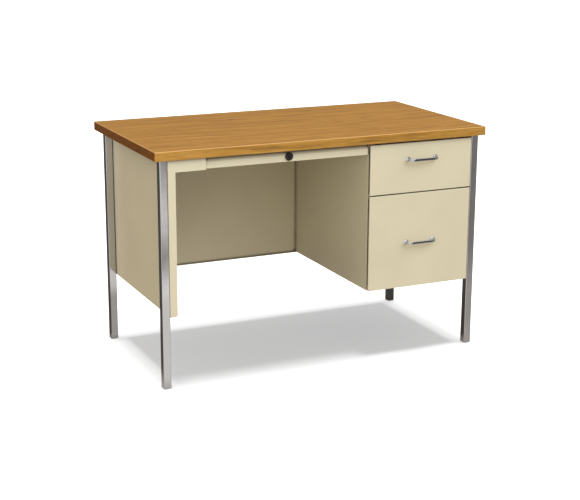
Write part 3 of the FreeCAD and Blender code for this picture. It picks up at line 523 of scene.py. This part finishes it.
def build_pull(node):
    """An arch pull with flared feet, as far from the drawer's face as the CAD model's."""
    low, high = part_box(node)
    middle = (low + high) / 2
    half = pull_sections(high.y - low.y)
    mirrored = [(-x, out, -angle, *section) for x, out, angle, *section in reversed(half[:-1])]

    def build(work):
        rings = []
        for x, out, angle, thick, tall, roundness in half + mirrored:
            turn = math.radians(angle)
            side = Vector((math.sin(turn), math.cos(turn), 0))
            centre = Vector((middle.x + x, high.y - out, middle.z))
            ring = []
            for i in range(PULL_RING):
                round_turn = 2 * math.pi * i / PULL_RING
                cosine, sine = math.cos(round_turn), math.sin(round_turn)
                across = math.copysign(abs(cosine) ** (2 / roundness), cosine)
                up = math.copysign(abs(sine) ** (2 / roundness), sine)
                ring.append(work.verts.new(centre + side * across * thick + Vector((0, 0, up * tall))))
            rings.append(ring)
        bridge_rings(work, rings)

    new_piece(node + "_arch", build, node)


for pull_node in ("box_drawer_pull", "file_drawer_pull"):
    build_pull(pull_node)

# ---------------------------------------------------------------- studio

FLOOR_HALF = 40.0
# The floor's own colour and its glow, each for the camera and then for the light sent to the desk.
FLOOR_WHITE = (0.30, 0.30, 0.30, 1)
FLOOR_BOUNCE = (0.095, 0.085, 0.076, 1)
FLOOR_GLOW = (0.385, 0.402, 0.42, 1)
FLOOR_FAINT_GLOW = (0.115, 0.104, 0.093, 1)
# Painted reflection: what the chrome mirrors of the floor, and the slant of the painted dark card's edge.
MIRRORED_UNDER_DESK = (0.56, 0.53, 0.49, 1)
MIRRORED_NEAR_DESK = (0.98, 0.95, 0.92, 1)
MIRRORED_IN_FRONT = (1.2, 1.18, 1.16, 1)
MIRRORED_RIGHT = (0.50, 0.46, 0.42, 1)
MIRRORED_BAND = (0.30, 0.28, 0.26, 1)
MIRRORED_FAR_RIGHT = (0.30, 0.28, 0.265, 1)
MIRRORED_CARD = (0.08, 0.07, 0.065, 1)
MIRRORED_BEHIND = (0.07, 0.062, 0.055, 1)
CARD_SLANT = 0.64
ROOM_DARK = (0.05, 0.05, 0.05, 1)
ROOM_OVERHEAD = (1.5, 1.5, 1.54, 1)
FILL_COLOUR = (1.0, 0.89, 0.80, 1)
FILL_STRENGTH = 0.945
COOL_WHITE = (0.88, 1.0, 1.22)
PLAIN_WHITE = (1, 1, 1)
SOFTBOX_AIM = Vector((0.1, 0, 0.4))

# Name, azimuth and elevation in degrees, strength, spread in degrees.
DESK_SUNS = (
    ("front_right", 45, 35, 0.43, 40),
    ("left_side", -85, 30, 0.09, 50),
)
FLOOR_SUN = ("floor_light", 0, 90, 3.5, 20)
# Name, place, width, watts.
SOFTBOXES = (
    ("softbox", (0.6, -1.9, 2.1), 1.2, 12),
    ("front_left", (-0.85, -1.3, 0.95), 0.6, 3.0),
)
# The top would show this one as a pale sheen.
LIGHT_WITHOUT_SHEEN = "front_right"

# Turns in degrees, lens and sensor in millimetres.
CAMERA_PLACE = (-1.8498, -3.9864, 1.4925)
CAMERA_YAW, CAMERA_PITCH, CAMERA_ROLL = -24.983, -14.976, 0.25
CAMERA_LENS = 83.19
CAMERA_SENSOR = 36.0


def mirrored_floor(shader):
    """Painted reflection of the floor, as the chrome mirrors it: bright in front, painted shadow under
    the desk, dimmer on the right, with a dark band across, a painted dark card far on the right and
    painted darkness behind."""
    x, y, z = shader.split(shader.place)
    colour = shader.mix(shader.ramp(y, -0.26, -0.38), MIRRORED_UNDER_DESK, MIRRORED_NEAR_DESK)
    colour = shader.mix(shader.ramp(y, -1.15, -1.30), colour, MIRRORED_IN_FRONT)
    colour = shader.mix(shader.ramp(x, 0.1, 0.7), colour, MIRRORED_RIGHT)
    band = shader.times(shader.ramp(y, -1.38, -1.6), shader.ramp(y, -2.35, -1.9, to_high=0.8))
    colour = shader.mix(band, colour, MIRRORED_BAND)
    far_right = shader.times(shader.ramp(x, 0.6, 0.9), shader.ramp(y, -0.9, -1.4))
    colour = shader.mix(far_right, colour, MIRRORED_FAR_RIGHT)
    slant = shader.plus(x, shader.times(y, CARD_SLANT))
    painted_dark_card = shader.times(far_right, shader.ramp(slant, 0.33, 0.22))
    colour = shader.mix(painted_dark_card, colour, MIRRORED_CARD)
    beside = shader.math("MAXIMUM", shader.ramp(x, -0.4, -0.2), shader.ramp(x, -0.56, -0.62))
    behind = shader.times(shader.ramp(y, -0.30, -0.20), beside)
    behind = shader.math("MAXIMUM", behind, shader.ramp(y, 0.20, 0.32))
    return shader.mix(behind, colour, MIRRORED_BEHIND)


def make_floor():
    """A pale floor that glows a little. It sends less light back to the desk than the camera sees, and
    reflections see a painted reflection of it, unevenly lit."""
    mesh = bpy.data.meshes.new("floor")
    corners = [(FLOOR_HALF * x, FLOOR_HALF * y, 0) for x, y in ((-1, -1), (1, -1), (1, 1), (-1, 1))]
    mesh.from_pydata(corners, [], [(0, 1, 2, 3)])
    floor = add_to_scene("floor", mesh)
    shader = Shader("studio_floor", roughness=0.9, specular_ior_level=0.1)
    path = shader.add("LightPath").outputs
    plain = shader.mix(path["Is Diffuse Ray"], FLOOR_WHITE, FLOOR_BOUNCE)
    shader.set(base_color=shader.mix(path["Is Glossy Ray"], plain, BLACK))
    glow = shader.mix(path["Is Diffuse Ray"], FLOOR_GLOW, FLOOR_FAINT_GLOW)
    glow = shader.mix(path["Is Glossy Ray"], glow, mirrored_floor(shader))
    shader.set(emission_color=glow, emission_strength=1.0)
    mesh.materials.append(shader.material)
    return floor


def aim(thing, direction):
    """Turns a lamp so that it shines against that direction."""
    thing.rotation_mode = "QUATERNION"
    thing.rotation_quaternion = direction.to_track_quat("Z", "Y")


def make_sun(name, azimuth, elevation, strength, spread, colour):
    """A wide, soft light from far away. Azimuth 0 shines from the front, 90 from the right."""
    data = bpy.data.lights.new(name, "SUN")
    data.energy = strength * math.pi
    data.angle = math.radians(spread)
    data.color = colour
    sun = add_to_scene(name, data)
    turn, rise = math.radians(azimuth), math.radians(elevation)
    flat = math.cos(rise)
    aim(sun, Vector((math.sin(turn) * flat, -math.cos(turn) * flat, math.sin(rise))))
    return sun


def make_softbox(name, place, width, watts, colour):
    """A square light that faces the desk's middle."""
    data = bpy.data.lights.new(name, "AREA")
    data.shape = "SQUARE"
    data.size = width
    data.energy = watts
    data.color = colour
    light = add_to_scene(name, data)
    light.location = place
    aim(light, Vector(place) - SOFTBOX_AIM)
    return light


def light_only(light, thing, state):
    """With INCLUDE the light falls only on that object, with EXCLUDE on everything but it."""
    lit = bpy.data.collections.new(light.name + "_receivers")
    lit.objects.link(thing)
    lit.collection_objects[0].light_linking.link_state = state
    light.light_linking.receiver_collection = lit


def make_world():
    """A white backdrop for the camera, a warm surround as the fill light, and for reflections a
    dark room with light overhead."""
    world = bpy.data.worlds.new("studio")
    bpy.context.scene.world = world
    world.use_nodes = True
    world.node_tree.nodes.clear()
    studio = Nodes(world.node_tree)
    path = studio.add("LightPath").outputs
    height = studio.split(studio.add("TexCoord").outputs["Generated"])[2]
    room = studio.mix(studio.ramp(height, 0.30, 0.75), ROOM_DARK, ROOM_OVERHEAD)
    colour = studio.mix(path["Is Glossy Ray"], scaled(FILL_COLOUR, FILL_STRENGTH), room)
    colour = studio.mix(path["Is Camera Ray"], colour, WHITE)
    background = studio.add("Background", {"Color": colour, "Strength": 1.0})
    studio.add("OutputWorld", {"Surface": background.outputs[0]})


def make_camera():
    """A long lens at the front left, a little above the top."""
    data = bpy.data.cameras.new("camera")
    data.sensor_width = CAMERA_SENSOR
    data.lens = CAMERA_LENS
    data.dof.use_dof = False
    camera = add_to_scene("camera", data)
    camera.location = CAMERA_PLACE
    yaw = Matrix.Rotation(math.radians(CAMERA_YAW), 4, "Z")
    pitch = Matrix.Rotation(math.radians(90 + CAMERA_PITCH), 4, "X")
    roll = Matrix.Rotation(math.radians(CAMERA_ROLL), 4, "Z")
    camera.rotation_mode = "QUATERNION"
    camera.rotation_quaternion = (yaw @ pitch @ roll).to_quaternion()
    bpy.context.scene.camera = camera


studio_floor = make_floor()
make_world()
make_camera()
desk_lights = [make_sun(*sun, COOL_WHITE) for sun in DESK_SUNS]
desk_lights += [make_softbox(*softbox, COOL_WHITE) for softbox in SOFTBOXES]
for desk_light in desk_lights:
    light_only(desk_light, studio_floor, "EXCLUDE")
    desk_light.visible_glossy = desk_light.name != LIGHT_WITHOUT_SHEEN
light_only(make_sun(*FLOOR_SUN, PLAIN_WHITE), studio_floor, "INCLUDE")
bpy.context.scene.view_settings.view_transform = "Standard"
bpy.context.scene.cycles.use_denoising = True
